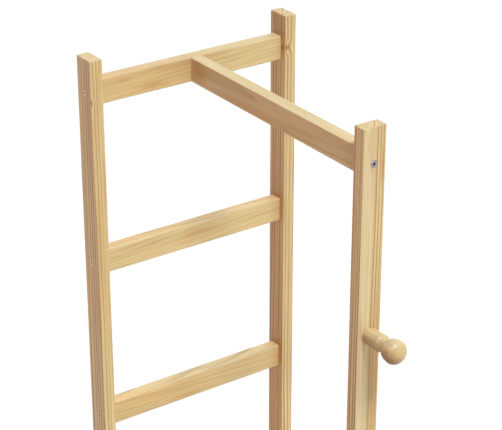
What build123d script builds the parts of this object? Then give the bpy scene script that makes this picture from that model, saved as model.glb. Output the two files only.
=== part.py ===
from build123d import *
from math import cos, pi, sin
import os

# A free-standing clothes rack in planed softwood, all of it in one section of timber.
# Two posts and five rungs make a ladder frame. A top rail and a bottom rail run from the
# middle of the ladder to a single front post, which carries a turned coat peg.
#
# Frame: +X from the ladder towards the peg, +Y across the ladder, +Z up, in millimetres.
# The origin is on the floor, under the centre of the rack's bounding box.

# Timber section, and the rounding of its long edges
STOCK_THIN = 24.0
STOCK_WIDE = 45.0
ARRIS = 1.2
END_CHAMFER = 0.8

# Ladder frame
HEIGHT = 1500.0
LADDER_WIDTH = 430.0
RUNG_SETBACK = 12.0
TOP_RUNG_DROP = 41.0
FIRST_PITCH = 326.0
RUNG_PITCH = 320.0
RUNG_COUNT = 5

# Rails and front post
RAIL_LENGTH = 482.0
RAIL_OFFSET_Y = 8.0

# Coat peg: lengths along its axis from the post, and radii
PEG_HEIGHT = 1131.0
PEG_LENGTH = 84.0
PEG_BASE_RADIUS = 13.4
PEG_SHAFT_RADIUS = 14.8
PEG_BEAD_RADIUS = 15.4
PEG_NECK_RADIUS = 12.7
PEG_HEAD_RADIUS = 21.0
PEG_SWELL_AT = 10.0
PEG_WAIST_AT = 24.0
PEG_BEAD_AT = 35.0
PEG_BEAD_END = 36.4
PEG_BEAD_STEP = 0.9
PEG_NECK_AT = 50.0
PEG_HEAD_AT = 69.5

# Connecting screws: a shank as wide as the thread, a countersunk head and a hexagon socket
SCREW_LENGTH = 70.0
SCREW_RADIUS = 3.5
SCREW_CORE_RADIUS = 2.6
SCREW_SHANK = 25.0
SCREW_PITCH = 3.5
SCREW_TIP = 5.0
SCREW_TIP_RADIUS = 0.8
SMALL_HEAD_RADIUS = 5.0
LARGE_HEAD_RADIUS = 6.5
HEAD_RIM = 0.6
SMALL_SOCKET = 4.0
LARGE_SOCKET = 5.0
SOCKET_DEPTH = 3.0

# Double-ended screw that holds the peg
PEG_SCREW_RADIUS = 3.0
PEG_SCREW_CORE_RADIUS = 2.2
PEG_SCREW_IN_POST = 18.0
PEG_SCREW_IN_PEG = 24.0
PEG_SCREW_PITCH = 3.0
PEG_SCREW_TIP = 3.0

# Where a thread's ridge starts, peaks and ends, as shares of its pitch
RIDGE_START = 0.35
RIDGE_CREST = 0.6
RIDGE_END = 0.85

# Dowels, a pair beside each screw
DOWEL_RADIUS = 4.0
DOWEL_SPREAD = 13.0
DOWEL_IN_SIDE = 15.0
DOWEL_IN_END = 20.0
DOWEL_CHAMFER = 1.0

# Nailed glides under the three posts
GLIDE_RADIUS = 9.0
GLIDE_THICKNESS = 4.0
GLIDE_ROUNDING = 1.2
NAIL_RADIUS = 1.2
NAIL_LENGTH = 16.0
NAIL_BURIED = 2.0
NAIL_POINT = 3.0
NAIL_POINT_RADIUS = 0.2

# Space left around every fastener in its hole, and past its end
CLEARANCE = 0.05
END_SPACE = 1.0

# Positions that follow from the sizes above
OVERALL_LENGTH = STOCK_WIDE - RUNG_SETBACK + RAIL_LENGTH + STOCK_THIN + PEG_LENGTH
LADDER_BACK = -OVERALL_LENGTH / 2
LADDER_X = LADDER_BACK + STOCK_WIDE / 2
RUNG_FRONT = LADDER_BACK + STOCK_WIDE - RUNG_SETBACK
RUNG_BACK = RUNG_FRONT - STOCK_THIN
RUNG_X = RUNG_FRONT - STOCK_THIN / 2
FRONT_POST_INNER = RUNG_FRONT + RAIL_LENGTH
FRONT_POST_X = FRONT_POST_INNER + STOCK_THIN / 2
FRONT_POST_OUTER = FRONT_POST_INNER + STOCK_THIN
LADDER_INNER = LADDER_WIDTH / 2 - STOCK_THIN
LADDER_POST_Y = LADDER_WIDTH / 2 - STOCK_THIN / 2
POST_LENGTH = HEIGHT - GLIDE_THICKNESS
RUNG_TOPS = [HEIGHT - TOP_RUNG_DROP] + [
    HEIGHT - TOP_RUNG_DROP - FIRST_PITCH - RUNG_PITCH * step for step in range(RUNG_COUNT - 1)
]
RUNG_LEVELS = [top - STOCK_WIDE / 2 for top in RUNG_TOPS]
RAIL_LEVELS = {"top": RUNG_LEVELS[0], "bottom": RUNG_LEVELS[-1]}

# Directions that a joint can face
FORWARD = (1, 0, 0)
BACKWARD = (-1, 0, 0)
LEFT = (0, -1, 0)
RIGHT = (0, 1, 0)

# Directions in a turned outline, which is drawn in the XZ plane about the Z axis
ALONG = Vector(0, 0, 1)
OUTWARD = Vector(1, 0, 0)
INWARD = Vector(-1, 0, 0)


def facing(point, direction):
    """Location at a point, with its local +Z along a direction."""
    return Plane(origin=point, z_dir=direction).location


def board(centre, size, along):
    """A length of timber with rounded long edges."""
    blank = Pos(*centre) * Box(*size)
    return fillet(blank.edges().filter_by(along), ARRIS)


def post(x, y, size_x, size_y):
    """An upright with a small chamfer round its top and bottom."""
    centre = (x, y, GLIDE_THICKNESS + POST_LENGTH / 2)
    body = board(centre, (size_x, size_y, POST_LENGTH), Axis.Z)
    ends = body.edges().group_by(Axis.Z)
    return chamfer(ends[0] + ends[-1], END_CHAMFER)


def turned(points):
    """A solid of revolution about the local Z axis, from (radius, z) points of its outline."""
    outline = [(0, points[0][1]), *points, (0, points[-1][1])]
    section = make_face(Polyline(*[(radius, 0, z) for radius, z in outline], close=True))
    return revolve(section, Axis.Z)


def thread(start, end, pitch, crest, core):
    """Outline points of thread ridges that run down from one height to another."""
    points = []
    ridges = int((start - end) / pitch)
    for ridge in range(ridges):
        top = start - ridge * pitch
        points.append((core, top - pitch * RIDGE_START))
        points.append((crest, top - pitch * RIDGE_CREST))
        points.append((core, top - pitch * RIDGE_END))
    return points


def connecting_screw(head_radius, socket):
    """Screw with the face of its head at z = 0, pointing down."""
    cone_end = -HEAD_RIM - (head_radius - SCREW_RADIUS)
    thread_end = -SCREW_LENGTH + SCREW_TIP
    points = [(head_radius, 0), (head_radius, -HEAD_RIM), (SCREW_RADIUS, cone_end)]
    points.append((SCREW_RADIUS, -SCREW_SHANK))
    points += thread(-SCREW_SHANK, thread_end, SCREW_PITCH, SCREW_RADIUS, SCREW_CORE_RADIUS)
    points += [(SCREW_CORE_RADIUS, thread_end), (SCREW_TIP_RADIUS, -SCREW_LENGTH)]
    hexagon = RegularPolygon(socket / 2, 6, major_radius=False)
    recess = extrude(hexagon, -SOCKET_DEPTH)
    return turned(points) - recess


def screw_hole(head_radius):
    """Clearance for a connecting screw, countersink included."""
    wide = head_radius + CLEARANCE
    narrow = SCREW_RADIUS + CLEARANCE
    cone_end = -HEAD_RIM - (head_radius - SCREW_RADIUS)
    return turned([
        (wide, END_SPACE),
        (wide, -HEAD_RIM),
        (narrow, cone_end),
        (narrow, -SCREW_LENGTH - END_SPACE),
    ])


def dowel():
    """Dowel about z = 0, the plane where the two pieces of timber meet."""
    low = -DOWEL_IN_SIDE + END_SPACE
    high = DOWEL_IN_END - END_SPACE
    return turned([
        (DOWEL_RADIUS - DOWEL_CHAMFER, low),
        (DOWEL_RADIUS, low + DOWEL_CHAMFER),
        (DOWEL_RADIUS, high - DOWEL_CHAMFER),
        (DOWEL_RADIUS - DOWEL_CHAMFER, high),
    ])


def dowel_hole():
    """Blind holes for a dowel, in both pieces of timber."""
    radius = DOWEL_RADIUS + CLEARANCE
    return turned([(radius, -DOWEL_IN_SIDE), (radius, DOWEL_IN_END)])


def beside(levels):
    """Heights of the two dowels at each screw's level, one below it and one above."""
    return [level + shift for level in levels for shift in (-DOWEL_SPREAD, DOWEL_SPREAD)]


def glide_pad():
    """Round pad that stands on z = 0 and has a blind hole for its nail."""
    pad = Pos(0, 0, GLIDE_THICKNESS / 2) * Cylinder(GLIDE_RADIUS, GLIDE_THICKNESS)
    pad = fillet(pad.edges().group_by(Axis.Z)[0], GLIDE_ROUNDING)
    depth = GLIDE_THICKNESS - NAIL_BURIED
    hole = Pos(0, 0, NAIL_BURIED + depth / 2) * Cylinder(NAIL_RADIUS + CLEARANCE, depth)
    return pad - hole


def glide_nail():
    """Pointed nail that stands in the pad and goes up into the post."""
    low = NAIL_BURIED + CLEARANCE
    high = NAIL_BURIED + NAIL_LENGTH
    return turned([
        (NAIL_RADIUS, low),
        (NAIL_RADIUS, high - NAIL_POINT),
        (NAIL_POINT_RADIUS, high),
    ])


def nail_hole():
    """Clearance for a glide's nail in the end of a post."""
    depth = NAIL_BURIED + NAIL_LENGTH + END_SPACE
    return Pos(0, 0, depth / 2) * Cylinder(NAIL_RADIUS + CLEARANCE, depth)


def coat_peg():
    """Turned peg with its base at z = 0, its domed head at +Z, and a blind hole in its base."""
    hole_radius = PEG_SCREW_RADIUS + CLEARANCE
    hole_end = PEG_SCREW_IN_PEG + END_SPACE
    hole = Polyline((0, 0, hole_end), (hole_radius, 0, hole_end), (hole_radius, 0, 0))
    base = (PEG_BASE_RADIUS, 0, 0)
    bead = (PEG_BEAD_RADIUS, 0, PEG_BEAD_AT)
    bead_end = (PEG_BEAD_RADIUS - PEG_BEAD_STEP, 0, PEG_BEAD_END)
    neck = (PEG_NECK_RADIUS, 0, PEG_NECK_AT)
    tip = (0, 0, PEG_LENGTH)
    shaft = Spline(
        base,
        (PEG_SHAFT_RADIUS, 0, PEG_SWELL_AT),
        (PEG_SHAFT_RADIUS, 0, PEG_WAIST_AT),
        bead,
    )
    cove = Spline(bead_end, neck, tangents=[INWARD + ALONG, ALONG])
    widest = (PEG_HEAD_RADIUS, 0, PEG_HEAD_AT)
    back_middle = (
        PEG_NECK_RADIUS + (PEG_HEAD_RADIUS - PEG_NECK_RADIUS) * sin(pi / 4),
        0,
        PEG_HEAD_AT - (PEG_HEAD_AT - PEG_NECK_AT) * cos(pi / 4),
    )
    dome_middle = (
        PEG_HEAD_RADIUS * cos(pi / 4),
        0,
        PEG_HEAD_AT + (PEG_LENGTH - PEG_HEAD_AT) * sin(pi / 4),
    )
    back = Spline(neck, back_middle, widest, tangents=[OUTWARD, ALONG])
    dome = Spline(widest, dome_middle, tip, tangents=[ALONG, INWARD])
    outline = [*hole.edges(), Line((hole_radius, 0, 0), base), shaft, Line(bead, bead_end)]
    outline += [cove, back, dome, Line(tip, (0, 0, hole_end))]
    return revolve(make_face(Wire(outline)), Axis.Z)


def peg_screw():
    """Double-ended screw about z = 0, the peg's base, pointed at both ends."""
    core = PEG_SCREW_CORE_RADIUS
    high = PEG_SCREW_IN_PEG - PEG_SCREW_TIP
    low = -PEG_SCREW_IN_POST + PEG_SCREW_TIP
    points = [(SCREW_TIP_RADIUS, PEG_SCREW_IN_PEG), (core, high)]
    points += thread(high, low, PEG_SCREW_PITCH, PEG_SCREW_RADIUS, core)
    points += [(core, low), (SCREW_TIP_RADIUS, -PEG_SCREW_IN_POST)]
    return turned(points)


def peg_screw_hole():
    """Clearance for the double-ended screw in the front post."""
    radius = PEG_SCREW_RADIUS + CLEARANCE
    return turned([(radius, END_SPACE), (radius, -PEG_SCREW_IN_POST - END_SPACE)])


# Joints. A screw's place is the face of its head, and a dowel's is the face where timbers meet.
rung_screw_places = {
    "left": [facing((RUNG_X, -LADDER_WIDTH / 2, z), LEFT) for z in RUNG_LEVELS],
    "right": [facing((RUNG_X, LADDER_WIDTH / 2, z), RIGHT) for z in RUNG_LEVELS],
}
rung_dowel_places = {
    "left": [facing((RUNG_X, -LADDER_INNER, z), RIGHT) for z in beside(RUNG_LEVELS)],
    "right": [facing((RUNG_X, LADDER_INNER, z), LEFT) for z in beside(RUNG_LEVELS)],
}
rail_screw_places = {
    "rear": [facing((RUNG_BACK, RAIL_OFFSET_Y, z), BACKWARD) for z in RAIL_LEVELS.values()],
    "front": [facing((FRONT_POST_OUTER, RAIL_OFFSET_Y, z), FORWARD) for z in RAIL_LEVELS.values()],
}
rail_dowel_levels = beside(RAIL_LEVELS.values())
rail_dowel_places = {
    "rear": [facing((RUNG_FRONT, RAIL_OFFSET_Y, z), FORWARD) for z in rail_dowel_levels],
    "front": [facing((FRONT_POST_INNER, RAIL_OFFSET_Y, z), BACKWARD) for z in rail_dowel_levels],
}
peg_place = facing((FRONT_POST_OUTER, RAIL_OFFSET_Y, PEG_HEIGHT), FORWARD)
glide_places = [
    Pos(LADDER_X, -LADDER_POST_Y, 0),
    Pos(LADDER_X, LADDER_POST_Y, 0),
    Pos(FRONT_POST_X, RAIL_OFFSET_Y, 0),
]

# Everything that is drilled out of the timber
small_screw_places = [*rung_screw_places["left"], *rung_screw_places["right"]]
small_screw_places += rail_screw_places["rear"]
drillings = [place * screw_hole(SMALL_HEAD_RADIUS) for place in small_screw_places]
drillings += [place * screw_hole(LARGE_HEAD_RADIUS) for place in rail_screw_places["front"]]
for places in (*rung_dowel_places.values(), *rail_dowel_places.values()):
    drillings += [place * dowel_hole() for place in places]
drillings += [place * nail_hole() for place in glide_places]
drillings.append(peg_place * peg_screw_hole())


def drilled(timber):
    """The timber less each drilling that reaches it."""
    box = timber.bounding_box()
    for hole in drillings:
        if box.overlaps(hole.bounding_box()):
            timber = timber - hole
    return timber


parts = {
    "left_post": post(LADDER_X, -LADDER_POST_Y, STOCK_WIDE, STOCK_THIN),
    "right_post": post(LADDER_X, LADDER_POST_Y, STOCK_WIDE, STOCK_THIN),
    "front_post": post(FRONT_POST_X, RAIL_OFFSET_Y, STOCK_THIN, STOCK_WIDE),
}
for number, level in enumerate(RUNG_LEVELS, start=1):
    size = (STOCK_THIN, 2 * LADDER_INNER, STOCK_WIDE)
    parts[f"rung_{number}"] = board((RUNG_X, 0, level), size, Axis.Y)
for name, level in RAIL_LEVELS.items():
    centre = (RUNG_FRONT + RAIL_LENGTH / 2, RAIL_OFFSET_Y, level)
    size = (RAIL_LENGTH, STOCK_THIN, STOCK_WIDE)
    parts[f"{name}_rail"] = board(centre, size, Axis.X)
parts = {name: drilled(timber) for name, timber in parts.items()}
parts["coat_peg"] = peg_place * coat_peg()

small_screw = connecting_screw(SMALL_HEAD_RADIUS, SMALL_SOCKET)
large_screw = connecting_screw(LARGE_HEAD_RADIUS, LARGE_SOCKET)
for side, places in rung_screw_places.items():
    parts[f"{side}_rung_screws"] = Compound([place * small_screw for place in places])
for side, places in rung_dowel_places.items():
    parts[f"{side}_rung_dowels"] = Compound([place * dowel() for place in places])
parts["rear_rail_screws"] = Compound([place * small_screw for place in rail_screw_places["rear"]])
parts["front_rail_screws"] = Compound([place * large_screw for place in rail_screw_places["front"]])
for side, places in rail_dowel_places.items():
    parts[f"{side}_rail_dowels"] = Compound([place * dowel() for place in places])
parts["peg_screw"] = peg_place * peg_screw()
parts["glide_pads"] = Compound([place * glide_pad() for place in glide_places])
parts["glide_nails"] = Compound([place * glide_nail() for place in glide_places])

os.makedirs("parts", exist_ok=True)
for name, shape in parts.items():
    export_step(shape, f"parts/{name}.step")
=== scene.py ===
import math

import bpy
import numpy as np
from mathutils import Matrix, Vector, noise


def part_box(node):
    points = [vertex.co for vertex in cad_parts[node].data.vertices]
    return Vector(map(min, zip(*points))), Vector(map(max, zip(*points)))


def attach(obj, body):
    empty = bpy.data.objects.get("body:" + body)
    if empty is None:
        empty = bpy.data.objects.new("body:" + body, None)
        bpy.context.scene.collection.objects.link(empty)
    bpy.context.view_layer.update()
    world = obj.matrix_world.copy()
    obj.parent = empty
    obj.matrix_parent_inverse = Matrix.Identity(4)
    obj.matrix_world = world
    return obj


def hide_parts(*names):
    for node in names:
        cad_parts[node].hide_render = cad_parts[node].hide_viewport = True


# A free-standing pine clothes rack. The timber, the peg and the fasteners are built here as
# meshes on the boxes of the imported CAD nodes, with solid wood grain that runs through each
# piece. Sizes are in metres.

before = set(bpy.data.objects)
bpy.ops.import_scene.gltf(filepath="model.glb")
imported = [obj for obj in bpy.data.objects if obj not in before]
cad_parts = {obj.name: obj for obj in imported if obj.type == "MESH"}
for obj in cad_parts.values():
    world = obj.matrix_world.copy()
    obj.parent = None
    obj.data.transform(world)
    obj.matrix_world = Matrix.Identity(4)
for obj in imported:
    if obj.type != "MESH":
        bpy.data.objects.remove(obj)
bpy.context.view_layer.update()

MM = 0.001

# ---------------------------------------------------------------- camera, light and floor

VIEW_AZIMUTH = 55.27
VIEW_PITCH = 25.71
VIEW_PLACE = Vector((2.228, -1.613, 2.585))
VIEW_LENS = 129.1
VIEW_REACH = 200.0

SUN_STRENGTH = 3.35
SUN_COLOUR = (0.93, 1.01, 1.13)
SUN_AZIMUTH = 84.0
SUN_ELEVATION = 61.0
SUN_SOFTNESS = 18.0
FLOOR_SIZE = 60.0
FLOOR_SHADES = ((0.76, 0.69, 0.56, 1.0), (0.78, 0.71, 0.58, 1.0))


def direction(azimuth, elevation):
    """Unit vector towards an azimuth from -Y round to +X, and an elevation, in degrees."""
    a = math.radians(azimuth)
    e = math.radians(elevation)
    return Vector((math.sin(a) * math.cos(e), -math.cos(a) * math.cos(e), math.sin(e)))


SKY_STRENGTH = 1.0
SKY = (0.47, 0.53, 0.57, 1.0)

# Parts of the surroundings with a colour of their own: the colour, the direction of the middle,
# and the cosines of the angles from it where the colour begins and where it is full
SKY_ZONES = (
    ((0.34, 0.05, 0.0, 1.0), direction(0.0, 0.0), -0.15, 0.50),
    ((0.0, 0.33, 1.0, 1.0), direction(0.0, 90.0), 0.50, 0.95),
    ((1.0, 1.0, 1.0, 1.0), direction(-135.0, 0.0), 0.10, 0.42),
)


def make_camera():
    camera = bpy.data.objects.new("camera", bpy.data.cameras.new("camera"))
    bpy.context.scene.collection.objects.link(camera)
    towards = direction(VIEW_AZIMUTH, VIEW_PITCH)
    camera.location = VIEW_PLACE
    camera.rotation_euler = towards.to_track_quat("Z", "Y").to_euler()
    camera.data.lens = VIEW_LENS
    camera.data.clip_end = VIEW_REACH
    bpy.context.scene.camera = camera


def make_sky():
    """Soft surroundings: dim and warm on the rack's left, cool overhead and white behind it."""
    world = bpy.data.worlds.new("studio")
    world.use_nodes = True
    g = Graph(world.node_tree)
    towards = g.node("TexCoord", {}, "Generated")
    colour = SKY
    for tint, axis, start, end in SKY_ZONES:
        along = g.node("VectorMath", {0: towards, 1: axis}, "Value", operation="DOT_PRODUCT")
        colour = g.mix(g.step(along, start, end), colour, tint)
    background = g.tree.nodes["Background"]
    g.feed(background.inputs["Color"], colour)
    background.inputs["Strength"].default_value = SKY_STRENGTH
    bpy.context.scene.world = world


def make_lights():
    sun = bpy.data.objects.new("sun", bpy.data.lights.new("sun", "SUN"))
    bpy.context.scene.collection.objects.link(sun)
    sun.rotation_euler = direction(SUN_AZIMUTH, SUN_ELEVATION).to_track_quat("Z", "Y").to_euler()
    sun.data.energy = SUN_STRENGTH
    sun.data.color = SUN_COLOUR
    sun.data.angle = math.radians(SUN_SOFTNESS)
    make_sky()
    bpy.context.scene.view_settings.view_transform = "Standard"


# ---------------------------------------------------------------- shader graphs


class Graph:
    """Adds nodes to a node tree. Each call makes one node and returns its output socket."""

    def __init__(self, tree):
        self.tree = tree

    def feed(self, socket, value):
        if isinstance(value, bpy.types.NodeSocket):
            self.tree.links.new(value, socket)
        else:
            socket.default_value = value

    def node(self, kind, inputs, output=0, **settings):
        made = self.tree.nodes.new("ShaderNode" + kind)
        for name, value in settings.items():
            setattr(made, name, value)
        for key, value in inputs.items():
            self.feed(made.inputs[key], value)
        return made.outputs[output]

    def attribute(self, name, output="Vector"):
        return self.node("Attribute", {}, output, attribute_name=name)

    def math(self, operation, first, second=0.0):
        return self.node("Math", {0: first, 1: second}, operation=operation)

    def vector(self, operation, first, second):
        return self.node("VectorMath", {0: first, 1: second}, operation=operation)

    def length(self, vector):
        return self.node("VectorMath", {0: vector}, "Value", operation="LENGTH")

    def noise(self, vector, stretch=(1, 1, 1), detail=2.0, roughness=0.5, distortion=0.0):
        scaled = self.vector("MULTIPLY", vector, stretch)
        return self.node(
            "TexNoise",
            {"Vector": scaled, "Scale": 1.0, "Detail": detail, "Roughness": roughness,
             "Distortion": distortion},
        )

    def step(self, value, low, high, to_low=0.0, to_high=1.0):
        return self.node(
            "MapRange",
            {"Value": value, "From Min": low, "From Max": high, "To Min": to_low,
             "To Max": to_high},
            interpolation_type="SMOOTHSTEP",
        )

    def mix(self, amount, first, second, blend="MIX"):
        return self.node(
            "Mix",
            {"Factor": amount, 6: first, 7: second},
            2,
            data_type="RGBA",
            blend_type=blend,
            clamp_factor=True,
        )

    def bump(self, height, distance, normal=None):
        inputs = {"Height": height, "Distance": distance, "Strength": 1.0}
        if normal is not None:
            inputs["Normal"] = normal
        return self.node("Bump", inputs)


class Surface(Graph):
    """The nodes of one new material."""

    def __init__(self, name):
        self.material = bpy.data.materials.new(name)
        self.material.use_nodes = True
        super().__init__(self.material.node_tree)
        self.shader = self.tree.nodes["Principled BSDF"]

    def finish(self, colour, roughness, normal=None):
        self.feed(self.shader.inputs["Base Color"], colour)
        self.feed(self.shader.inputs["Roughness"], roughness)
        if normal is not None:
            self.feed(self.shader.inputs["Normal"], normal)
        return self.material


RING_WANDER = 12 * MM
RING_RIPPLE = 1.4 * MM
KNOT_BULGE = 2.6 * MM
CALM_WOOD = (0.67, 0.53, 0.29, 1.0)
BLUSH = (0.54, 0.30, 0.13, 1.0)
CANAL = (0.30, 0.16, 0.06, 1.0)
FLARE = (0.49, 0.225, 0.06, 1.0)
KNOT_DARK = (0.30, 0.11, 0.035, 1.0)
KNOT_LIGHT = (0.40, 0.19, 0.07, 1.0)
KNOT_COLLAR = (0.42, 0.22, 0.07, 1.0)
WORN_EDGE = (0.62, 0.47, 0.27, 1.0)
LATEWOOD_RELIEF = 0.05 * MM
FIBRE_RELIEF = 0.06 * MM
PLANING_RELIEF = 0.05 * MM
WOOD_SPECULAR = 0.3
LACQUER_ROUGHNESS = 0.28


def nearness(g, attribute, near, far):
    """1 near a patch of the mesh and 0 far from it, at distances in the patch's own radii."""
    return g.step(g.length(g.attribute(attribute)), near, far, 1.0, 0.0)


def growth_rings(g, log, radius, spacing):
    """Latewood, from 0 to 1, by distance from the pith: slow to start and sharp to end."""
    turns = g.math("DIVIDE", radius, spacing)
    pace = g.noise(g.node("CombineXYZ", {0: g.math("MULTIPLY", turns, 0.45)}), (1, 1, 1), 1.0)
    turns = g.math("ADD", turns, g.math("MULTIPLY", pace, 1.5))
    ring = g.math("FRACT", turns)
    number = g.math("FLOOR", turns)
    vigour = g.node("TexWhiteNoise", {"W": number}, "Value", noise_dimensions="1D")
    rise = g.step(ring, 0.48, 0.90)
    fall = g.step(ring, 0.93, 1.0, 1.0, 0.0)
    latewood = g.math("MULTIPLY", rise, fall)
    latewood = g.math("MULTIPLY", latewood, g.step(vigour, 0, 1, 0.45, 1.0))
    fading = g.step(g.noise(log, (34, 34, 1.2), 2.0), 0.32, 0.62, 0.3, 1.0)
    return g.math("MULTIPLY", latewood, fading)


def wood(name, early, late, warm, olive, spacing, contrast, roughness, lacquer, natural=False):
    """Solid softwood: growth rings about the pith, whose place is in the mesh's own log space.

    Natural wood also has knots, resin canals, flares of resin and patches of calm or vivid
    figure, placed by attributes of the mesh.
    """
    g = Surface(name)
    log = g.attribute("log")
    edge = g.attribute("edge", "Fac")

    # Distance from the pith, with a slow wander and a finer ripple along the trunk
    wander = g.math("SUBTRACT", g.noise(log, (6, 6, 1.1), 2.0), 0.5)
    ripple = g.math("SUBTRACT", g.noise(log, (50, 50, 5), 2.0), 0.5)
    radius = g.length(g.vector("MULTIPLY", log, (1, 1, 0)))
    radius = g.math("ADD", radius, g.math("MULTIPLY", wander, RING_WANDER))
    radius = g.math("ADD", radius, g.math("MULTIPLY", ripple, RING_RIPPLE))
    if natural:
        for attribute in ("knot_a", "knot_b"):
            bulge = nearness(g, attribute, 0.6, 4.0)
            radius = g.math("ADD", radius, g.math("MULTIPLY", bulge, KNOT_BULGE))
    latewood = growth_rings(g, log, radius, spacing)

    # Fibres and streaks that run along the trunk, and slow changes of hue
    fibre = g.noise(log, (1100, 1100, 18), 3.0, 0.6)
    streak = g.noise(log, (330, 330, 5), 3.0, 0.6)
    cloud = g.noise(log, (26, 26, 2.4), 3.0, 0.55)
    blush = g.noise(log, (48, 48, 4.5), 2.0, 0.5)

    bold = g.attribute("bold", "Fac")
    bands = g.math("MULTIPLY", g.math("MULTIPLY", latewood, bold), contrast)
    if natural:
        side = g.math("SUBTRACT", 1.0, g.attribute("end", "Fac"))
        calm = g.math("MULTIPLY", nearness(g, "calm", 0.6, 1.2), side)
        vivid = g.math("MULTIPLY", nearness(g, "vivid", 0.8, 1.2), side)
        strength = g.math("ADD", g.math("SUBTRACT", 1.0, g.math("MULTIPLY", calm, 0.8)), vivid)
        sawn = g.math("ADD", 0.75, g.math("MULTIPLY", side, 0.25))
        bands = g.math("MULTIPLY", bands, g.math("MULTIPLY", strength, sawn))
        early = g.mix(g.math("MULTIPLY", calm, 0.7), early, CALM_WOOD)
    colour = g.mix(bands, early, late)
    colour = g.mix(g.step(cloud, 0.46, 0.74, 0.0, 0.8), colour, warm)
    colour = g.mix(g.step(cloud, 0.46, 0.22, 0.0, 0.6), colour, olive)
    colour = g.mix(g.step(blush, 0.54, 0.78, 0.0, 0.55), colour, BLUSH)
    light = g.math("ADD", g.math("MULTIPLY", fibre, 0.20), 0.90)
    light = g.math("ADD", light, g.math("MULTIPLY", g.math("SUBTRACT", streak, 0.5), 0.7))
    light = g.node("CombineColor", {0: light, 1: light, 2: light})
    colour = g.mix(1.0, colour, light, "MULTIPLY")
    if natural:
        colour = flares_and_knots(g, log, colour)
    colour = g.mix(g.math("MULTIPLY", edge, 0.15), colour, WORN_EDGE)

    # Darker is also browner, both for the wood's own lightness and for the peg's painted shade
    tone_and_painted_shade = g.attribute("tone_and_painted_shade", "Fac")
    powers = [g.math("POWER", tone_and_painted_shade, power) for power in (0.85, 1.25, 1.6)]
    shade = g.node("CombineColor", dict(enumerate(powers)))
    colour = g.mix(1.0, colour, shade, "MULTIPLY")

    gloss = g.math("ADD", g.math("MULTIPLY", latewood, -0.08), roughness)
    gloss = g.math("ADD", gloss, g.math("MULTIPLY", fibre, 0.14))
    gloss = g.math("SUBTRACT", gloss, g.math("MULTIPLY", edge, 0.06))
    relief = g.bump(latewood, LATEWOOD_RELIEF)
    relief = g.bump(fibre, FIBRE_RELIEF, relief)
    relief = g.bump(g.noise(log, (160, 160, 60), 2.0), PLANING_RELIEF, relief)
    g.shader.inputs["Specular IOR Level"].default_value = WOOD_SPECULAR
    g.shader.inputs["Coat Weight"].default_value = lacquer
    g.shader.inputs["Coat Roughness"].default_value = LACQUER_ROUGHNESS
    return g.finish(colour, gloss, relief)


def flares_and_knots(g, log, colour):
    """Colour of natural wood with its resin canals, flares of resin and knots."""
    canal = g.step(g.noise(log, (1500, 1500, 26), 1.0), 0.66, 0.74)
    colour = g.mix(g.math("MULTIPLY", canal, 0.35), colour, CANAL)
    flares = [
        g.math("MULTIPLY", nearness(g, name, 0.0, 1.0), g.attribute(name + "_power", "Fac"))
        for name in ("flare_a", "flare_b")
    ]
    colour = g.mix(g.math("ADD", *flares), colour, FLARE)
    knot = g.math("MINIMUM", *[g.length(g.attribute(name)) for name in ("knot_a", "knot_b")])
    wave = g.math("PINGPONG", g.math("MULTIPLY", knot, 3.2), 1.0)
    flesh = g.mix(g.step(wave, 0.2, 0.9), KNOT_DARK, KNOT_LIGHT)
    colour = g.mix(g.step(knot, 0.9, 2.4, 0.4, 0.0), colour, KNOT_COLLAR)
    heart = g.step(knot, 0.70, 1.05, 1.0, 0.0)
    return g.mix(g.math("MULTIPLY", heart, 0.8), colour, flesh)


# Painted shade in a screw's socket: it begins below the screw's face, is darkest on the recess's
# walls and spares its bottom
SOCKET_PAINTED_SHADE = (0.030, 0.020, 0.016, 1.0)
PAINTED_SHADE_BELOW = -0.05 * MM
PAINTED_SHADE_FULL = -0.3 * MM
PAINTED_SHADE_END = (-2.95 * MM, -2.8 * MM)


def steel(name, tint, dark, roughness, recess=None):
    """Plated steel, mottled and brushed round its axis. A recess has painted shade on its walls,
    and is duller there.
    """
    g = Surface(name)
    place = g.attribute("turned")
    mottle = g.noise(place, (900, 900, 900), 3.0)
    lines = g.noise(place, (60, 60, 9000), 2.0)
    colour = g.mix(g.step(mottle, 0.35, 0.75, 0.0, 0.6), tint, dark)
    gloss = g.math("ADD", g.math("MULTIPLY", lines, 0.25), roughness)
    if recess:
        height = g.node("SeparateXYZ", {0: place}, "Z")
        radius = g.length(g.vector("MULTIPLY", place, (1, 1, 0)))
        # Painted shade: the socket's walls are darkened where shade falls, and made rougher
        socket_shade = g.step(radius, recess, recess * 1.08, 1.0, 0.0)
        socket_shade = g.math("MULTIPLY", socket_shade, g.step(height, PAINTED_SHADE_FULL, PAINTED_SHADE_BELOW, 1.0, 0.0))
        socket_shade = g.math("MULTIPLY", socket_shade, g.step(height, *PAINTED_SHADE_END))
        colour = g.mix(socket_shade, colour, SOCKET_PAINTED_SHADE)
        gloss = g.math("ADD", gloss, g.math("MULTIPLY", socket_shade, 0.4))
    g.shader.inputs["Metallic"].default_value = 1.0
    return g.finish(colour, gloss, g.bump(lines, 0.01 * MM))


def nylon(name, tint, dark):
    """Moulded nylon with a fine spark-eroded texture and faint scuffs."""
    g = Surface(name)
    place = g.attribute("turned")
    grain = g.noise(place, (2600, 2600, 2600), 2.0)
    scuff = g.noise(place, (500, 90, 90), 4.0, 0.7)
    colour = g.mix(g.step(scuff, 0.5, 0.8, 0.0, 0.5), tint, dark)
    gloss = g.math("ADD", g.math("MULTIPLY", grain, 0.2), 0.42)
    return g.finish(colour, gloss, g.bump(grain, 0.04 * MM))


def plain_floor():
    """Matt white studio floor with a barely visible unevenness."""
    g = Surface("floor_white")
    place = g.node("NewGeometry", {}, "Position")
    colour = g.mix(g.noise(place, (0.8, 0.8, 0.8), 2.0), *FLOOR_SHADES)
    g.shader.inputs["Specular IOR Level"].default_value = 0.1
    return g.finish(colour, 0.95)


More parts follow.
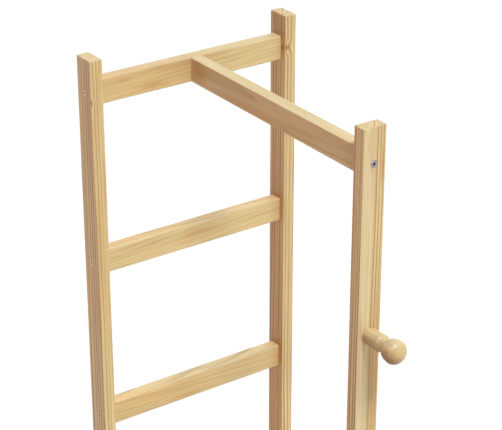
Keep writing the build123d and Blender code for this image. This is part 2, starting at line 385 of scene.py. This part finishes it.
PINE = wood(
    "pine",
    early=(0.63, 0.455, 0.197, 1.0),
    late=(0.31, 0.140, 0.035, 1.0),
    warm=(0.57, 0.33, 0.105, 1.0),
    olive=(0.57, 0.43, 0.17, 1.0),
    spacing=4.2 * MM,
    contrast=1.0,
    roughness=0.42,
    lacquer=0.18,
    natural=True,
)
TURNED = wood(
    "turned_pine",
    early=(0.57, 0.43, 0.195, 1.0),
    late=(0.43, 0.26, 0.085, 1.0),
    warm=(0.52, 0.33, 0.11, 1.0),
    olive=(0.55, 0.43, 0.19, 1.0),
    spacing=5.0 * MM,
    contrast=0.40,
    roughness=0.34,
    lacquer=0.25,
)
BEECH = wood(
    "beech",
    early=(0.62, 0.42, 0.25, 1.0),
    late=(0.52, 0.32, 0.17, 1.0),
    warm=(0.60, 0.38, 0.21, 1.0),
    olive=(0.58, 0.42, 0.24, 1.0),
    spacing=1.6 * MM,
    contrast=0.4,
    roughness=0.5,
    lacquer=0.0,
)
BLUE_ZINC = steel(
    "blue_zinc_plate",
    tint=(0.43, 0.39, 0.42, 1.0),
    dark=(0.24, 0.20, 0.25, 1.0),
    roughness=0.34,
    recess=2.7 * MM,
)
WARM_ZINC = steel(
    "warm_zinc_plate",
    tint=(0.84, 0.62, 0.40, 1.0),
    dark=(0.66, 0.44, 0.27, 1.0),
    roughness=0.42,
    recess=2.5 * MM,
)
BRIGHT = steel("bright_steel", (0.50, 0.50, 0.50, 1.0), (0.36, 0.36, 0.37, 1.0), 0.30)
NYLON = nylon("nylon", (0.60, 0.55, 0.46, 1.0), (0.46, 0.42, 0.35, 1.0))


# ---------------------------------------------------------------- mesh tools


def make_object(name, points, faces):
    mesh = bpy.data.meshes.new(name)
    mesh.from_pydata([tuple(p) for p in points], [], faces)
    mesh.update()
    made = bpy.data.objects.new(name, mesh)
    bpy.context.scene.collection.objects.link(made)
    return made


def grid_faces(rows, around):
    """Quads between closed rows of points, each row with the same number of points."""
    faces = []
    for row in range(rows - 1):
        for k in range(around):
            after = (k + 1) % around
            low = row * around
            high = low + around
            faces.append((low + k, low + after, high + after, high + k))
    return faces


def tube(rows):
    """Points and faces of a closed body from rows of points, the first and last row capped."""
    around = len(rows[0])
    points = [p for row in rows for p in row]
    faces = grid_faces(len(rows), around)
    faces.append(tuple(reversed(range(around))))
    last = (len(rows) - 1) * around
    faces.append(tuple(range(last, last + around)))
    return points, faces


def lathe(outline, around):
    """Rows of points about the Z axis. A radius in the outline may be a function of the angle."""
    rows = []
    for radius, z in outline:
        row = []
        for k in range(around):
            angle = 2 * math.pi * k / around
            reach = radius(angle) if callable(radius) else radius
            row.append((reach * math.cos(angle), reach * math.sin(angle), z))
        rows.append(row)
    return rows


def set_attribute(mesh, name, values, kind="FLOAT_VECTOR"):
    layer = mesh.attributes.new(name, kind, "POINT")
    key = "vector" if kind == "FLOAT_VECTOR" else "value"
    layer.data.foreach_set(key, np.asarray(values, np.float32).ravel())


def points_of(mesh):
    flat = np.zeros(len(mesh.vertices) * 3, np.float32)
    mesh.vertices.foreach_get("co", flat)
    return flat.reshape(-1, 3).astype(float)


def smooth(mesh, angle):
    """Smooth shading, broken at edges sharper than an angle in degrees."""
    mesh.shade_smooth()
    mesh.set_sharp_from_angle(angle=math.radians(angle))


def bake_modifiers(piece):
    """Replaces the piece's mesh by the one that its modifiers make."""
    graph = bpy.context.evaluated_depsgraph_get()
    made = bpy.data.meshes.new_from_object(
        piece.evaluated_get(graph), preserve_all_data_layers=True, depsgraph=graph
    )
    piece.modifiers.clear()
    piece.data = made
    made.name = piece.name


def install(piece, material, node):
    """Makes a piece stand for its CAD node."""
    piece.data.materials.clear()
    piece.data.materials.append(material)
    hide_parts(node)
    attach(piece, "root")


def facing(point, axis):
    """Matrix that puts the local Z axis along an axis, at a point."""
    turn = Vector(axis).to_track_quat("Z", "Y").to_matrix().to_4x4()
    return Matrix.Translation(Vector(point)) @ turn


# ---------------------------------------------------------------- joints, read from the CAD

SCREW_LENGTH = 70 * MM
SCREW_RADIUS = 3.5 * MM
SCREW_CORE = 2.6 * MM
SCREW_SHANK = 25 * MM
SCREW_PITCH = 3.5 * MM
SCREW_TIP = 5 * MM
SMALL_HEAD = 5.0 * MM
LARGE_HEAD = 6.5 * MM
HEAD_RIM = 0.6 * MM
SMALL_SOCKET = 4.0 * MM
LARGE_SOCKET = 5.0 * MM
SOCKET_DEPTH = 3.0 * MM
DOWEL_RADIUS = 4.0 * MM
DOWEL_SPREAD = 13.0 * MM
DOWEL_IN_SIDE = 15.0 * MM
DOWEL_IN_END = 20.0 * MM
HOLE_GAP = 0.05 * MM
HOLE_REST = 1.0 * MM
HOLE_CRUSH = 0.35 * MM
HOLE_STEPS = 36

# Radii at which a turned outline stops short of its axis and is closed by a flat cap
CLOSED = 0.3 * MM
FINE_CLOSED = 0.2 * MM

POSTS = ["left_post", "right_post", "front_post"]
RUNGS = [f"rung_{number}" for number in range(1, 6)]
RAILS = ["top_rail", "bottom_rail"]
RAIL_RUNGS = ["rung_1", "rung_5"]
FORWARD = (1, 0, 0)
BACKWARD = (-1, 0, 0)
LEFT = (0, -1, 0)
RIGHT = (0, 1, 0)


def middle(node):
    low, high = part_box(node)
    return (low + high) / 2


def pair(place, axis):
    """Two dowel places, one below and one above a screw's line."""
    up = Vector((0, 0, DOWEL_SPREAD))
    return [facing(place - up, axis), facing(place + up, axis)]


rung_screws = {"left": [], "right": []}
rung_dowels = {"left": [], "right": []}
for rung in RUNGS:
    low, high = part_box(rung)
    centre = (low + high) / 2
    outer_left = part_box("left_post")[0].y
    outer_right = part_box("right_post")[1].y
    rung_screws["left"].append(facing((centre.x, outer_left, centre.z), LEFT))
    rung_screws["right"].append(facing((centre.x, outer_right, centre.z), RIGHT))
    rung_dowels["left"] += pair(Vector((centre.x, low.y, centre.z)), RIGHT)
    rung_dowels["right"] += pair(Vector((centre.x, high.y, centre.z)), LEFT)
rail_screws = {"rear": [], "front": []}
rail_dowels = {"rear": [], "front": []}
for rail, rung in zip(RAILS, RAIL_RUNGS):
    low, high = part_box(rail)
    centre = (low + high) / 2
    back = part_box(rung)[0].x
    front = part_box("front_post")[1].x
    rail_screws["rear"].append(facing((back, centre.y, centre.z), BACKWARD))
    rail_screws["front"].append(facing((front, centre.y, centre.z), FORWARD))
    rail_dowels["rear"] += pair(Vector((low.x, centre.y, centre.z)), FORWARD)
    rail_dowels["front"] += pair(Vector((high.x, centre.y, centre.z)), BACKWARD)
peg_low, peg_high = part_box("coat_peg")
peg_middle = (peg_low + peg_high) / 2
peg_place = facing((peg_low.x, peg_middle.y, peg_middle.z), FORWARD)


def cutter(rows, place):
    """A turned shape that is cut out of the timber."""
    points, faces = tube(rows)
    return make_object("cutter", [place @ Vector(p) for p in points], faces)


def screw_cutter(place, head):
    wide = head + HOLE_GAP
    narrow = SCREW_RADIUS + HOLE_GAP
    outline = [
        (narrow, -SCREW_LENGTH - HOLE_REST),
        (narrow, -HEAD_RIM - head + SCREW_RADIUS),
        (wide, -HEAD_RIM),
        (wide, -HOLE_CRUSH),
        (wide + HOLE_CRUSH, 0.0),
        (wide + HOLE_CRUSH, HOLE_REST),
    ]
    return cutter(lathe(outline, HOLE_STEPS), place)


def dowel_cutter(place):
    radius = DOWEL_RADIUS + HOLE_GAP
    return cutter(lathe([(radius, -DOWEL_IN_SIDE), (radius, DOWEL_IN_END)], HOLE_STEPS), place)


PEG_SCREW_RADIUS = 3.0 * MM
PEG_SCREW_CORE = 2.2 * MM
PEG_SCREW_PITCH = 3.0 * MM
PEG_SCREW_IN_POST = 18.0 * MM
PEG_SCREW_IN_PEG = 24.0 * MM


def peg_cutter():
    radius = PEG_SCREW_RADIUS + HOLE_GAP
    outline = [(radius, -PEG_SCREW_IN_POST - HOLE_REST), (radius, HOLE_REST)]
    return cutter(lathe(outline, HOLE_STEPS), peg_place)


PAD_HEIGHT = 4.0 * MM
NAIL_RADIUS = 1.2 * MM
NAIL_BURIED = 2.0 * MM
NAIL_LENGTH = 16.0 * MM
NAIL_POINT = 3.0 * MM


def glide_place(post):
    """Place of the glide under a post: on the floor, with its nail pointing up."""
    centre = middle(post)
    return facing((centre.x, centre.y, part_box("glide_pads")[0].z), (0, 0, 1))


def nail_cutter(post):
    radius = NAIL_RADIUS + HOLE_GAP
    tip = NAIL_BURIED + NAIL_LENGTH
    outline = [
        (radius, PAD_HEIGHT - HOLE_REST),
        (radius, tip - NAIL_POINT),
        (CLOSED, tip + HOLE_REST),
    ]
    return cutter(lathe(outline, HOLE_STEPS), glide_place(post))


# ---------------------------------------------------------------- timber

ARRIS = 1.2 * MM
ARRIS_STEPS = 5
ARRIS_WAVE = 0.35 * MM
END_CHAMFER = 0.8 * MM
SECTION_STEP = 14 * MM
SUPPORT = 1.1 * MM
WAVES_PER_METRE = 14.0
WAVE_APART = 7.3
SHARPEST_SMOOTH = 35


def section(half_a, half_b, radius, inset):
    """Outline of a board's cross-section, with rounded corners and a support point beside each."""
    a = half_a - inset
    b = half_b - inset
    points = []
    for corner, (sign_a, sign_b) in enumerate(((1, 1), (-1, 1), (-1, -1), (1, -1))):
        centre_a = sign_a * (a - radius)
        centre_b = sign_b * (b - radius)
        start = corner * math.pi / 2
        for k in range(ARRIS_STEPS + 1):
            angle = start + k * math.pi / 2 / ARRIS_STEPS
            points.append(
                (centre_a + radius * math.cos(angle), centre_b + radius * math.sin(angle))
            )
    supported = []
    per_corner = ARRIS_STEPS + 1
    for corner in range(4):
        start = corner * math.pi / 2
        end = start + math.pi / 2
        arc = points[corner * per_corner:(corner + 1) * per_corner]
        before = (arc[0][0] + SUPPORT * math.sin(start), arc[0][1] - SUPPORT * math.cos(start))
        after = (arc[-1][0] - SUPPORT * math.sin(end), arc[-1][1] + SUPPORT * math.cos(end))
        supported += [before, *arc, after]
    return supported


def board(node, along, seed, end_chamfer=0.0):
    """Object for one length of timber on its CAD box, its rounded edges slightly uneven."""
    low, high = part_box(node)
    centre = (low + high) / 2
    half = (high - low) / 2
    a_axis = (along + 1) % 3
    b_axis = (along + 2) % 3
    length = 2 * half[along]
    count = max(2, round(length / SECTION_STEP))
    stations = [length * k / count - length / 2 for k in range(count + 1)]
    insets = [0.0] * len(stations)
    if end_chamfer:
        stations = [stations[0], stations[0] + end_chamfer, *stations[1:-1],
                    stations[-1] - end_chamfer, stations[-1]]
        insets = [end_chamfer, *([0.0] * (len(stations) - 2)), end_chamfer]
    rows = []
    for u, inset in zip(stations, insets):
        wave = noise.noise(Vector((u * WAVES_PER_METRE, seed * WAVE_APART, 0.0)))
        radius = ARRIS + ARRIS_WAVE * wave
        row = []
        for a, b in section(half[a_axis], half[b_axis], radius, inset):
            point = Vector(centre)
            point[along] += u
            point[a_axis] += a
            point[b_axis] += b
            row.append(point)
        rows.append(row)
    points, faces = tube(rows)
    return make_object(node + "_timber", points, faces)


def drill(piece, cutters):
    """Cuts turned shapes out of a piece."""
    for cut in cutters:
        modifier = piece.modifiers.new("drill", "BOOLEAN")
        modifier.operation = "DIFFERENCE"
        modifier.solver = "EXACT"
        modifier.object = cut
    bake_modifiers(piece)
    for cut in cutters:
        bpy.data.objects.remove(cut)


def timber(node, along, cutters, end_chamfer=0.0):
    """One length of timber with its joints cut, and its grain."""
    piece = board(node, along, GRAIN[node]["seed"], end_chamfer)
    drill(piece, cutters)
    smooth(piece.data, SHARPEST_SMOOTH)
    weighted = piece.modifiers.new("weighted", "WEIGHTED_NORMAL")
    weighted.keep_sharp = True
    bake_modifiers(piece)
    grain_attributes(piece.data, node, along)
    install(piece, PINE, node)


def grain_attributes(mesh, node, along):
    """Places the timber in its log, with its knots, flares and patches."""
    grain = GRAIN[node]
    low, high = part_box(node)
    half = np.array((high - low) / 2)
    offset = points_of(mesh) - np.array((low + high) / 2)
    a_axis = (along + 1) % 3
    b_axis = (along + 2) % 3
    u = offset[:, along]
    a = offset[:, a_axis]
    b = offset[:, b_axis]
    pith = grain["pith"]
    tilt = grain["tilt"]
    scale = grain.get("rings", 1.0)
    log = [
        (a - pith[0] - tilt[0] * u) * scale,
        (b - pith[1] - tilt[1] * u) * scale,
        u + LOG_STEP * grain["seed"],
    ]
    set_attribute(mesh, "log", np.stack(log, axis=1))
    worn = (np.abs(a) > half[a_axis] - ARRIS) & (np.abs(b) > half[b_axis] - ARRIS)
    sawn = np.abs(u) > half[along] - HOLE_GAP
    set_attribute(mesh, "edge", worn, "FLOAT")
    set_attribute(mesh, "end", sawn, "FLOAT")
    set_attribute(mesh, "tone_and_painted_shade", np.full(len(a), grain.get("tone_and_painted_shade", 1.0)), "FLOAT")
    set_attribute(mesh, "bold", np.full(len(a), grain["bold"]), "FLOAT")
    for name, knot in zip(("knot_a", "knot_b"), grain.get("knots", []) + [None, None]):
        set_attribute(mesh, name, knot_space(u, a, b, pith, tilt, knot))
    for name, flare in zip(("flare_a", "flare_b"), grain.get("flares", []) + [NO_PATCH, NO_PATCH]):
        set_attribute(mesh, name, patch_space(u, a, b, flare))
        set_attribute(mesh, name + "_power", np.full(len(a), flare[2]), "FLOAT")
    for name in ("calm", "vivid"):
        set_attribute(mesh, name, patch_space(u, a, b, grain.get(name, NO_PATCH)))


def knot_space(u, a, b, pith, tilt, knot):
    """Offset of each point from a knot's axis, in knot radii. The knot grows out from the pith."""
    if knot is None:
        return np.full((len(u), 3), FAR_FROM_KNOT)
    at, towards, radius = knot
    start = np.array([at, pith[0] + tilt[0] * at, pith[1] + tilt[1] * at])
    axis = np.array([0.0, towards[0] - pith[0], towards[1] - pith[1]])
    axis[0] = KNOT_CLIMB * np.linalg.norm(axis)
    axis /= np.linalg.norm(axis)
    points = np.stack([u, a, b], axis=1) - start
    points -= np.outer(points @ axis, axis)
    return points / (radius * np.array([KNOT_STRETCH, 1.0, 1.0]))


def patch_space(u, a, b, patch):
    """Offset of each point from the middle of a patch of wood, in the patch's own radii."""
    centre, radii = patch[:2]
    return (np.stack([u, a, b], axis=1) - np.array(centre)) / np.array(radii)


X, Y, Z = 0, 1, 2
LOG_STEP = 3.1
FAR_FROM_KNOT = 100.0
KNOT_CLIMB = 0.15
KNOT_STRETCH = 1.25

# A patch with a radius of WIDE or FAR has no limit that way. NO_PATCH is too far off to be seen
WIDE = 1.0
FAR = 10.0
NO_PATCH = ((FAR, FAR, FAR), (WIDE, WIDE, WIDE), 0.0)

# How each timber lies in its tree. All places are offsets from the timber's middle, first along
# it and then across it. The pith has its place across the timber, and its tilt per length.
# "rings" widens or narrows the rings, "bold" sets the strength of the latewood bands, and
# "tone" the lightness. A knot is its height, the place across where it comes out, and its
# radius. A calm or vivid patch is its middle and its radii. A flare of resin also has a power.
GRAIN = {
    "left_post": {
        "seed": 1, "pith": (-0.045, 0.060), "tilt": (0.001, -0.001), "bold": 1.3,
        "vivid": ((0.0, 0.014, -0.018), (FAR, 0.022, 0.010)),
        "knots": [(0.659, (0.0205, -0.0120), 2.4 * MM)],
    },
    "right_post": {
        "seed": 2, "pith": (-0.050, -0.062), "tilt": (-0.001, 0.001), "rings": 0.70, "tone_and_painted_shade": 0.97,
        "bold": 1.3,
        "vivid": ((0.0, 0.0, -0.018), (FAR, 0.040, 0.0075)),
        "knots": [(0.674, (0.0165, -0.012), 3.6 * MM)],
        "flares": [
            ((0.10, 0.012, -0.012), (0.55, 0.008, 0.012), 0.32),
            ((0.0, 0.0, -0.014), (FAR, 0.040, 0.012), 0.40),
        ],
    },
    "front_post": {
        "seed": 3, "pith": (-0.045, -0.050), "tilt": (0.001, 0.001), "rings": 0.75, "bold": 1.05,
        "calm": ((0.0, 0.012, -0.010), (FAR, 0.030, 0.0095)),
        "vivid": ((0.0, 0.0, -0.030), (FAR, 0.030, 0.010)),
        "flares": [
            ((0.680, 0.012, 0.0170), (0.055, 0.030, 0.0045), 0.85),
            ((0.0, -0.010, -0.0225), (FAR, 0.0065, 0.010), 0.80),
        ],
    },
    "rung_1": {
        "seed": 4, "pith": (0.046, -0.030), "tilt": (0.040, 0.010), "rings": 0.7, "bold": 0.34,
        "flares": [
            ((-0.085, -0.010, 0.012), (0.040, 0.008, 0.050), 0.50),
            ((-0.142, 0.012, 0.012), (0.024, 0.006, 0.050), 0.40),
        ],
    },
    "rung_2": {
        "seed": 5, "pith": (-0.040, -0.034), "tilt": (0.045, 0.010), "rings": 0.75, "bold": 0.46,
        "flares": [
            ((0.005, 0.004, 0.012), (0.060, 0.010, 0.050), 0.45),
            ((0.185, 0.000, 0.012), (0.030, WIDE, WIDE), 0.25),
        ],
    },
    "rung_3": {
        "seed": 6, "pith": (-0.055, -0.018), "tilt": (-0.050, 0.010), "rings": 0.75, "bold": 0.75,
        "flares": [
            ((-0.030, -0.015, 0.012), (0.060, 0.010, 0.050), 0.50),
            ((0.185, 0.000, 0.012), (0.030, WIDE, WIDE), 0.25),
        ],
    },
    "rung_4": {"seed": 7, "pith": (0.060, -0.040), "tilt": (0.030, 0.020), "bold": 0.7},
    "rung_5": {"seed": 8, "pith": (-0.060, -0.025), "tilt": (-0.020, 0.015), "bold": 0.7},
    "top_rail": {
        "seed": 9, "pith": (0.062, 0.012), "tilt": (0.010, 0.012), "bold": 0.50,
        "flares": [
            ((-0.214, -0.014, -0.004), (0.032, 0.016, 0.050), 0.45),
            ((0.0, -0.020, 0.0), (FAR, 0.012, FAR), 0.70),
        ],
    },
    "bottom_rail": {"seed": 10, "pith": (0.050, -0.025), "tilt": (0.015, 0.008), "bold": 0.7},
}


def cut_joints(screws_at, head, dowels_at):
    """Cutters for one joint's screws and dowels."""
    return [screw_cutter(p, head) for p in screws_at] + [dowel_cutter(p) for p in dowels_at]


post_cutters = [
    cut_joints(rung_screws["left"], SMALL_HEAD, rung_dowels["left"]),
    cut_joints(rung_screws["right"], SMALL_HEAD, rung_dowels["right"]),
    cut_joints(rail_screws["front"], LARGE_HEAD, rail_dowels["front"]) + [peg_cutter()],
]
for post, cutters in zip(POSTS, post_cutters):
    timber(post, Z, [*cutters, nail_cutter(post)], END_CHAMFER)
for number, rung in enumerate(RUNGS):
    cutters = []
    for side in ("left", "right"):
        places = rung_dowels[side][2 * number:2 * number + 2]
        cutters += cut_joints([rung_screws[side][number]], SMALL_HEAD, places)
    if rung in RAIL_RUNGS:
        rail_number = RAIL_RUNGS.index(rung)
        places = rail_dowels["rear"][2 * rail_number:2 * rail_number + 2]
        cutters += cut_joints([rail_screws["rear"][rail_number]], SMALL_HEAD, places)
    timber(rung, Y, cutters)
for number, rail in enumerate(RAILS):
    cutters = []
    for side, head in (("rear", SMALL_HEAD), ("front", LARGE_HEAD)):
        places = rail_dowels[side][2 * number:2 * number + 2]
        cutters += cut_joints([rail_screws[side][number]], head, places)
    timber(rail, X, cutters)


# ---------------------------------------------------------------- coat peg

# Outline of the shaft and its bead: distance from the post and radius, in millimetres
PEG_OUTLINE = [
    (0.0, 13.4), (1.0, 13.9), (5.0, 14.5), (10.0, 14.8), (17.0, 14.75), (24.0, 14.8),
    (30.0, 15.15), (34.0, 15.4), (35.4, 15.3), (36.1, 14.9), (36.4, 14.4), (38.0, 13.7),
    (42.0, 13.0), (46.0, 12.75),
]
PEG_NECK = (50.0, 12.7)
PEG_HEAD_AT = 69.5
PEG_HEAD_RADIUS = 21.0
PEG_LENGTH = 84.0
PEG_TIP_RADIUS = 0.35
PEG_STEPS = 96
HEAD_STEPS = 14


def peg_outline():
    """Radius and height of the peg from its base to its tip: shaft, neck and domed head."""
    neck_at, neck = PEG_NECK
    outline = [(radius * MM, z * MM) for z, radius in PEG_OUTLINE]
    for k in range(HEAD_STEPS + 1):
        angle = math.pi / 2 * k / HEAD_STEPS
        radius = neck + (PEG_HEAD_RADIUS - neck) * math.sin(angle)
        z = PEG_HEAD_AT - (PEG_HEAD_AT - neck_at) * math.cos(angle)
        outline.append((radius * MM, z * MM))
    for k in range(1, HEAD_STEPS):
        angle = math.pi / 2 * k / HEAD_STEPS
        z = PEG_HEAD_AT + (PEG_LENGTH - PEG_HEAD_AT) * math.sin(angle)
        outline.append((PEG_HEAD_RADIUS * math.cos(angle) * MM, z * MM))
    outline.append((PEG_TIP_RADIUS * MM, PEG_LENGTH * MM))
    return outline


# Away from the dim warm side of the surroundings and upwards: the peg's colour is painted a little
# lighter this way and darker the other way, as painted shade
LIT_SIDE = (0.0, 0.64, 0.77)


def turned_attributes(mesh, place, pith, tone_and_painted_shade, seed):
    """Log space along a turned piece's own axis, for grain that runs through it.

    The lightness is one number, or one each for the shaded side, the middle and the lit side:
    painted shade, darker away from the light.
    """
    points = points_of(mesh)
    local = np.array([list(place.inverted() @ Vector(p)) for p in points])
    # Three numbers paint shade into the colour: darker on the side away from the light
    if isinstance(tone_and_painted_shade, tuple):
        lit = (points - np.array(place.translation)) @ np.array(LIT_SIDE)
        tone_and_painted_shade = np.interp(lit / lit.max(), (-1.0, 0.0, 1.0), tone_and_painted_shade)
    log = local.copy()
    log[:, 0] -= pith[0]
    log[:, 1] -= pith[1]
    log[:, 2] += LOG_STEP * seed
    set_attribute(mesh, "log", log)
    set_attribute(mesh, "turned", local)
    set_attribute(mesh, "tone_and_painted_shade", np.broadcast_to(tone_and_painted_shade, len(local)), "FLOAT")
    set_attribute(mesh, "bold", np.ones(len(local)), "FLOAT")
    set_attribute(mesh, "edge", np.zeros(len(local)), "FLOAT")


def turned(name, rows, place, material, node, pith=(0.0, 0.0), tone_and_painted_shade=1.0, seed=0, angle=40):
    """A piece with turned rows of points, put at its place on the rack."""
    points, faces = tube(rows)
    piece = make_object(name, [place @ Vector(p) for p in points], faces)
    smooth(piece.data, angle)
    turned_attributes(piece.data, place, pith, tone_and_painted_shade, seed)
    install(piece, material, node)


def coat_peg():
    hole = PEG_SCREW_RADIUS + HOLE_GAP
    depth = PEG_SCREW_IN_PEG + HOLE_REST
    inner = [(FINE_CLOSED, depth), (hole, depth), (hole, 0.0)]
    rows = lathe(inner + peg_outline(), PEG_STEPS)
    # Painted shade on the peg: its colour falls to 0.30 on the side away from the light
    turned("coat_peg_turning", rows, peg_place, TURNED, "coat_peg",
           pith=(0.030, 0.022), tone_and_painted_shade=(0.30, 1.0, 1.06), seed=20)


coat_peg()


# ---------------------------------------------------------------- fasteners

SCREW_STEPS = 36
THREAD_ROWS = 8
RIDGE_SHARE = 0.28
THREAD_FADE = 3.0


def hexagon(across):
    """Radius of a hexagon as a function of the angle."""
    def radius(angle):
        turn = (angle + math.pi / 6) % (math.pi / 3) - math.pi / 6
        return across / 2 / math.cos(turn)
    return radius


def thread_radius(z, pitch, crest, core):
    """Radius of a helical thread at a height, as a function of the angle."""
    def radius(angle):
        phase = (z / pitch + angle / (2 * math.pi)) % 1.0
        ridge = max(0.0, 1.0 - abs(phase - 0.5) / RIDGE_SHARE)
        return core + (crest - core) * ridge
    return radius


def thread_rows(start, end, pitch, crest, core):
    """Outline entries for a thread from one height up to another, faded in at both ends."""
    count = round((end - start) / (pitch / THREAD_ROWS))
    entries = []
    for k in range(count + 1):
        z = start + (end - start) * k / count
        fade = min(1.0, THREAD_FADE * k / count, THREAD_FADE * (count - k) / count)
        entries.append((thread_radius(z, pitch, core + (crest - core) * fade, core), z))
    return entries


def connecting_screw(head, socket):
    """Outline from the tip up, over the head and down into its hexagon socket."""
    tip = [(CLOSED, -SCREW_LENGTH), (0.8 * MM, -SCREW_LENGTH + 0.2 * MM)]
    shape = (SCREW_PITCH, SCREW_RADIUS, SCREW_CORE)
    body = thread_rows(-SCREW_LENGTH + SCREW_TIP, -SCREW_SHANK, *shape)
    cone = -HEAD_RIM - (head - SCREW_RADIUS)
    rim = [
        (SCREW_RADIUS - 0.1 * MM, -SCREW_SHANK + 0.8 * MM),
        (SCREW_RADIUS - 0.1 * MM, cone - 0.3 * MM),
        (SCREW_RADIUS, cone),
        (head, -HEAD_RIM),
        (head, -0.25 * MM),
        (head - 0.08 * MM, -0.1 * MM),
        (head - 0.25 * MM, 0.0),
    ]
    mouth = hexagon(socket + 0.5 * MM)
    wall = hexagon(socket)
    recess = [
        (mouth, 0.0),
        (wall, -0.25 * MM),
        (wall, -SOCKET_DEPTH + 0.2 * MM),
        (hexagon(socket - 0.4 * MM), -SOCKET_DEPTH),
        (CLOSED, -SOCKET_DEPTH),
    ]
    return lathe(tip + body + rim + recess, SCREW_STEPS)


def screws(node, places, head, socket, plating):
    """The connecting screws of one node."""
    for number, place in enumerate(places, start=1):
        name = f"{node[:-1]}_{number}"
        rows = connecting_screw(head, socket)
        turned(name, rows, place, plating, node, angle=35)


screws("left_rung_screws", rung_screws["left"], SMALL_HEAD, SMALL_SOCKET, WARM_ZINC)
screws("right_rung_screws", rung_screws["right"], SMALL_HEAD, SMALL_SOCKET, WARM_ZINC)
screws("rear_rail_screws", rail_screws["rear"], SMALL_HEAD, SMALL_SOCKET, WARM_ZINC)
screws("front_rail_screws", rail_screws["front"], LARGE_HEAD, LARGE_SOCKET, BLUE_ZINC)

FLUTES = 18
FLUTE_DEPTH = 0.3 * MM
DOWEL_CHAMFER = 1.0 * MM


def fluted(radius):
    def reach(angle):
        return radius - FLUTE_DEPTH * max(0.0, math.cos(angle * FLUTES)) ** 2
    return reach


def dowels(node, places):
    """The fluted dowels of one node, chamfered at both ends."""
    low = -DOWEL_IN_SIDE + HOLE_REST
    high = DOWEL_IN_END - HOLE_REST
    small = DOWEL_RADIUS - DOWEL_CHAMFER
    outline = [
        (small, low),
        (fluted(DOWEL_RADIUS), low + DOWEL_CHAMFER),
        (fluted(DOWEL_RADIUS), high - DOWEL_CHAMFER),
        (small, high),
    ]
    for number, place in enumerate(places, start=1):
        name = f"{node[:-1]}_{number}"
        turned(name, lathe(outline, FLUTES * 4), place, BEECH, node,
               pith=(0.02, 0.01 * number), seed=number, angle=30)


dowels("left_rung_dowels", rung_dowels["left"])
dowels("right_rung_dowels", rung_dowels["right"])
dowels("rear_rail_dowels", rail_dowels["rear"])
dowels("front_rail_dowels", rail_dowels["front"])


def peg_screw():
    """Double-ended screw between the front post and the peg, with a thread at each end."""
    point = 3 * MM
    post_end = -PEG_SCREW_IN_POST
    peg_end = PEG_SCREW_IN_PEG
    shape = (PEG_SCREW_PITCH, PEG_SCREW_RADIUS, PEG_SCREW_CORE)
    outline = [(CLOSED, post_end), (0.8 * MM, post_end + 0.3 * MM)]
    outline += thread_rows(post_end + point, -1.5 * MM, *shape)
    outline += [(PEG_SCREW_CORE, -1.0 * MM), (PEG_SCREW_CORE, 1.0 * MM)]
    outline += thread_rows(1.5 * MM, peg_end - point, *shape)
    outline += [(0.8 * MM, peg_end - 0.3 * MM), (CLOSED, peg_end)]
    turned("peg_double_screw", lathe(outline, SCREW_STEPS), peg_place, BLUE_ZINC,
           "peg_screw", angle=35)


peg_screw()

PAD_RADIUS = 9.0 * MM
PAD_ROUND = 1.2 * MM
PAD_STEPS = 64
ROUND_STEPS = 6
NAIL_STEPS = 24


def glide(number, post):
    """Pad with its nail under one post."""
    place = glide_place(post)
    outline = [(0.4 * MM, 0.0), (PAD_RADIUS - PAD_ROUND, 0.0)]
    for k in range(1, ROUND_STEPS + 1):
        angle = math.pi / 2 * k / ROUND_STEPS
        radius = PAD_RADIUS - PAD_ROUND * (1 - math.sin(angle))
        outline.append((radius, PAD_ROUND * (1 - math.cos(angle))))
    outline += [
        (PAD_RADIUS, PAD_HEIGHT - 0.5 * MM),
        (PAD_RADIUS - 0.15 * MM, PAD_HEIGHT - 0.15 * MM),
        (PAD_RADIUS - 0.5 * MM, PAD_HEIGHT),
        (NAIL_RADIUS + HOLE_GAP, PAD_HEIGHT),
        (NAIL_RADIUS + HOLE_GAP, NAIL_BURIED),
        (FINE_CLOSED, NAIL_BURIED),
    ]
    turned(f"glide_pad_{number}", lathe(outline, PAD_STEPS), place, NYLON,
           "glide_pads", angle=30)
    nail = [
        (CLOSED, NAIL_BURIED + HOLE_GAP),
        (NAIL_RADIUS, NAIL_BURIED + HOLE_GAP),
        (NAIL_RADIUS, NAIL_BURIED + NAIL_LENGTH - NAIL_POINT),
        (FINE_CLOSED, NAIL_BURIED + NAIL_LENGTH),
    ]
    turned(f"glide_nail_{number}", lathe(nail, NAIL_STEPS), place, BRIGHT,
           "glide_nails", angle=30)


for number, post in enumerate(POSTS, start=1):
    glide(number, post)


# ---------------------------------------------------------------- stage


def make_floor():
    half = FLOOR_SIZE / 2
    corners = [(-half, -half, 0), (half, -half, 0), (half, half, 0), (-half, half, 0)]
    floor = make_object("floor", corners, [(0, 1, 2, 3)])
    floor.data.materials.append(plain_floor())


make_floor()
make_lights()
make_camera()
